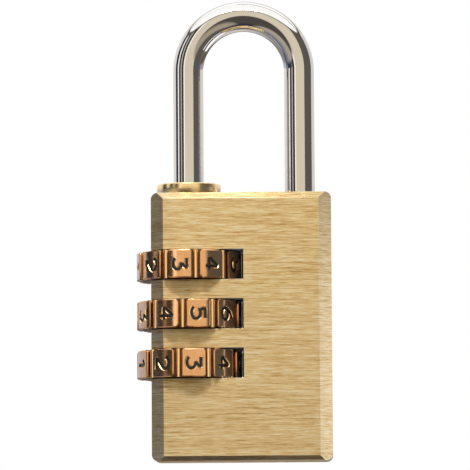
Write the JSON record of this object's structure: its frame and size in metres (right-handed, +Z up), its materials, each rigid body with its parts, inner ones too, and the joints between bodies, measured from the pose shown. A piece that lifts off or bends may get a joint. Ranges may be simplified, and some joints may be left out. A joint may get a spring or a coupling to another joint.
{
  "type": "combination padlock",
  "caption": "Small brass combination padlock with a steel shackle, a turned collar, and number dials that stand out of one edge.",
  "frame": {"origin": "middle of the body's flat bottom face, which the lock stands on", "axes": "+Z up along the shackle's legs, +X across the body away from the dials, -Y to the front"},
  "size_m": [0.0217, 0.0116, 0.0515],
  "materials": {
    "body_brass": "brushed",
    "dial_brass": "polished, copper tinted",
    "collar_brass": "turned",
    "sleeve_brass": "turned",
    "shackle_steel": "polished nickel plate",
    "pin_steel": "ground",
    "spring_steel": "blued"
  },
  "bodies": {
    "lock_case": {"lock_body": "body_brass", "heel_collar": "collar_brass", "sleeve_spring": "spring_steel", "detent_strip": "spring_steel", "detent_plug": "body_brass"},
    "shackle": {"shackle": "shackle_steel", "lug_pin_upper": "pin_steel", "lug_pin_middle": "pin_steel", "lug_pin_lower": "pin_steel"},
    "washer": {"spring_washer": "spring_steel"},
    "dial_upper": {"dial_upper": "dial_brass"},
    "dial_middle": {"dial_middle": "dial_brass"},
    "dial_lower": {"dial_lower": "dial_brass"},
    "sleeve_upper": {"sleeve_upper": "sleeve_brass"},
    "sleeve_middle": {"sleeve_middle": "sleeve_brass"},
    "sleeve_lower": {"sleeve_lower": "sleeve_brass"}
  },
  "joints": [
    {"name": "shackle_lift", "type": "slide", "parent": "lock_case", "child": "shackle", "axis": [0, 0, 1], "range_m": [0, 0.0042]},
    {"name": "dial_upper_turn", "type": "hinge", "parent": "lock_case", "child": "dial_upper", "pos_m": [-0.00587, 0, 0.02166], "axis": [0, 0, 1], "continuous": true, "deforming": ["detent_strip"]},
    {"name": "dial_middle_turn", "type": "hinge", "parent": "lock_case", "child": "dial_middle", "pos_m": [-0.00587, 0, 0.0162], "axis": [0, 0, 1], "continuous": true, "deforming": ["detent_strip"]},
    {"name": "dial_lower_turn", "type": "hinge", "parent": "lock_case", "child": "dial_lower", "pos_m": [-0.00587, 0, 0.01074], "axis": [0, 0, 1], "continuous": true, "deforming": ["detent_strip"]},
    {"name": "washer_press", "type": "slide", "parent": "lock_case", "child": "washer", "axis": [0, 0, -1], "range_m": [0, 0.0013], "stiffness_N_per_m": 800, "springref_m": -0.002, "deforming": ["sleeve_spring"]},
    {"name": "sleeve_upper_press", "type": "slide", "parent": "dial_upper", "child": "sleeve_upper", "axis": [0, 0, -1], "range_m": [0, 0.0013]},
    {"name": "sleeve_middle_press", "type": "slide", "parent": "dial_middle", "child": "sleeve_middle", "axis": [0, 0, -1], "range_m": [0, 0.0013]},
    {"name": "sleeve_lower_press", "type": "slide", "parent": "dial_lower", "child": "sleeve_lower", "axis": [0, 0, -1], "range_m": [0, 0.0013]}
  ],
  "couplings": [
    {"joint": "sleeve_upper_press", "follows": "washer_press", "ratio": 1},
    {"joint": "sleeve_middle_press", "follows": "washer_press", "ratio": 1},
    {"joint": "sleeve_lower_press", "follows": "washer_press", "ratio": 1}
  ]
}
